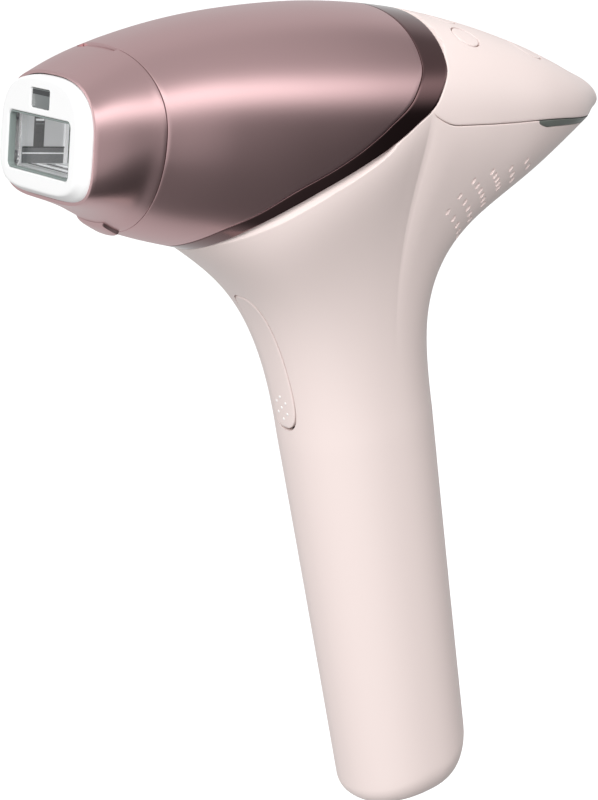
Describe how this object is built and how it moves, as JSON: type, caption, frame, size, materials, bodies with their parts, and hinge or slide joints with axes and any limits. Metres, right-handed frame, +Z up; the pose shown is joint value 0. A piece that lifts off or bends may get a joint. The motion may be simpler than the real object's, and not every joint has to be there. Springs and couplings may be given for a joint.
{
  "type": "light-pulse hair remover",
  "caption": "Hand-held light-pulse hair remover: a tapered head with a treatment window, on a raked handle with a trigger, keys, status light and power inlet.",
  "frame": {"origin": "centre of the power inlet mouth at the foot of the handle", "axes": "+X to the side, -Y the way the treatment window faces, +Z up"},
  "size_m": [0.0658, 0.1729, 0.2226],
  "materials": {
    "rose_metallic": "satin metallic",
    "gloss_trim": "gloss",
    "pale_shell": "satin",
    "white_frame": "satin",
    "gasket": "matte",
    "clear_glass": "clear",
    "sensor_dark": "gloss",
    "mirror": "mirror",
    "lens_grey": "satin",
    "grey_plastic": "matte",
    "dark_rubber": "matte",
    "dark_plastic": "matte",
    "filter_glass": "tinted",
    "bare_aluminium": "bare",
    "circuit_board": "solder mask",
    "steel": "bright",
    "dark_sleeve": "gloss",
    "cell_sleeve": "gloss",
    "cable_film": "film"
  },
  "bodies": {
    "body": {"body_shell_right": "pale_shell", "body_shell_left": "pale_shell", "trim_band": "gloss_trim", "head_cover": "rose_metallic", "rear_cover": "pale_shell", "status_light_lens": "lens_grey", "chassis": "grey_plastic", "lamp_housing": "white_frame", "lamp_reflector": "mirror", "flash_lamp": "clear_glass", "uv_filter": "filter_glass", "heat_sink": "bare_aluminium", "fan_frame": "dark_plastic", "main_board": "circuit_board", "board_screws": "steel", "flash_capacitor": "dark_sleeve", "battery_cells": "cell_sleeve", "battery_holder": "grey_plastic", "power_socket": "dark_plastic", "flat_cable": "cable_film", "control_board": "circuit_board", "key_domes": "dark_rubber", "trigger_pin": "steel", "trigger_bracket": "grey_plastic", "trigger_switch": "dark_plastic", "trigger_spring": "steel"},
    "attachment": {"attachment_shell": "rose_metallic", "attachment_bulkhead": "grey_plastic", "light_duct": "mirror", "window_glass": "clear_glass", "sensor_board": "circuit_board", "contact_springs": "steel", "release_catch": "rose_metallic"},
    "contact_frame": {"contact_frame": "white_frame", "window_gasket": "gasket", "skin_sensor_window": "sensor_dark"},
    "fan": {"fan_rotor": "dark_plastic"},
    "trigger": {"trigger": "pale_shell", "trigger_carrier": "grey_plastic"},
    "key_minus": {"button_minus": "pale_shell"},
    "key_plus": {"button_plus": "pale_shell"},
    "key_smart": {"button_smart": "pale_shell"},
    "key_power": {"power_button": "pale_shell"}
  },
  "joints": [
    {"name": "attachment_release", "type": "slide", "parent": "body", "child": "attachment", "axis": [0, -1, 0], "range_m": [0, 0.045]},
    {"name": "contact_press", "type": "slide", "parent": "attachment", "child": "contact_frame", "axis": [0, 1, 0], "range_m": [0, 0.0008], "stiffness_N_per_m": 1200, "deforming": ["contact_springs"]},
    {"name": "fan_spin", "type": "hinge", "parent": "body", "child": "fan", "pos_m": [0, -0.03, 0.183], "axis": [0, 1, 0], "continuous": true},
    {"name": "trigger_press", "type": "hinge", "parent": "body", "child": "trigger", "pos_m": [0, -0.0606, 0.1426], "axis": [1, 0, 0], "range_deg": [0, 2], "stiffness_Nm_per_rad": 2.5, "deforming": ["trigger_spring"]},
    {"name": "key_plus_press", "type": "slide", "parent": "body", "child": "key_plus", "axis": [-0.4859, -0.1432, -0.8622], "range_m": [0, 0.0005], "stiffness_N_per_m": 900},
    {"name": "key_minus_press", "type": "slide", "parent": "body", "child": "key_minus", "axis": [0.4859, -0.1432, -0.8622], "range_m": [0, 0.0005], "stiffness_N_per_m": 900},
    {"name": "key_smart_press", "type": "slide", "parent": "body", "child": "key_smart", "axis": [-0.1639, -0.1525, -0.9746], "range_m": [0, 0.0005], "stiffness_N_per_m": 900},
    {"name": "key_power_press", "type": "slide", "parent": "body", "child": "key_power", "axis": [-0.2822, -0.2641, -0.9223], "range_m": [0, 0.0005], "stiffness_N_per_m": 900}
  ]
}
